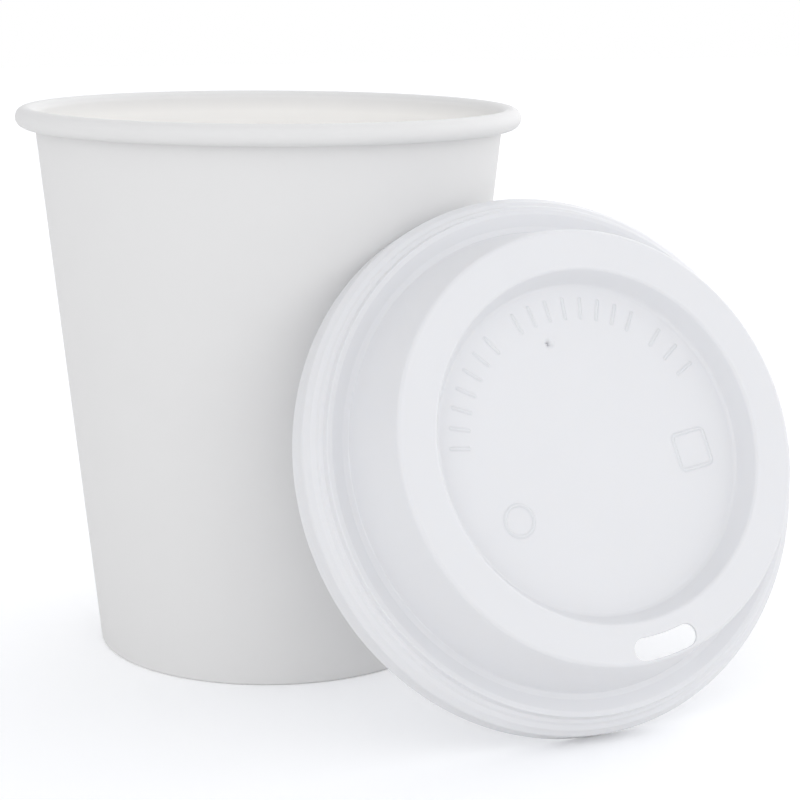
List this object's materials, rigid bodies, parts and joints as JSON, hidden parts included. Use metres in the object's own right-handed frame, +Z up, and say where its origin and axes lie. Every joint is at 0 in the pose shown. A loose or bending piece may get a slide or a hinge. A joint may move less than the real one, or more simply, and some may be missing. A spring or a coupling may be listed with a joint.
{
  "type": "paper coffee cup",
  "caption": "Plain white paper cup with a rolled rim and a held-in bottom, its formed plastic sip lid taken off and leaning against it on the open edge.",
  "frame": {"origin": "centre of the cup's foot ring, on the surface that the cup stands on", "axes": "+Z up along the cup's axis; -Y towards the front, where the lid stands and leans back on the cup; +X to the right seen from the front"},
  "size_m": [0.1176, 0.1317, 0.098],
  "materials": {
    "paperboard": "satin coated paperboard",
    "bottom_board": "satin coated paperboard",
    "lid_plastic": "soft gloss formed sheet"
  },
  "bodies": {
    "root": {"cup_sidewall": "paperboard", "cup_bottom": "bottom_board", "sip_lid": "lid_plastic"}
  },
  "joints": []
}
